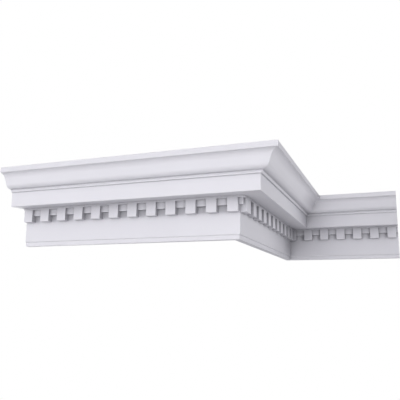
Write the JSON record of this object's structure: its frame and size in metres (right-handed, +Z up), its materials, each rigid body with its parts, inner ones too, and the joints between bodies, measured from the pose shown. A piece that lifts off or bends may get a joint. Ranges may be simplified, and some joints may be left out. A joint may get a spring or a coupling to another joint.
{
  "type": "cornice moulding",
  "caption": "White moulded cornice with a cyma, corona and dentil band, in straight lengths mitred round an outer and an inner wall corner, with square-cut ends.",
  "frame": {"origin": "under the middle of the whole cornice's box, on the plane of its underside", "axes": "+X along the front and wall runs, from the cut end of the front run to the cut end of the wall run; +Y from the front towards the wall behind it; +Z up"},
  "size_m": [0.99, 0.771, 0.2],
  "materials": {
    "primed_moulding": "white-primed moulded polyurethane, smooth and matt"
  },
  "bodies": {
    "root": {"front_length": "primed_moulding", "return_length": "primed_moulding", "wall_length": "primed_moulding"}
  },
  "joints": []
}
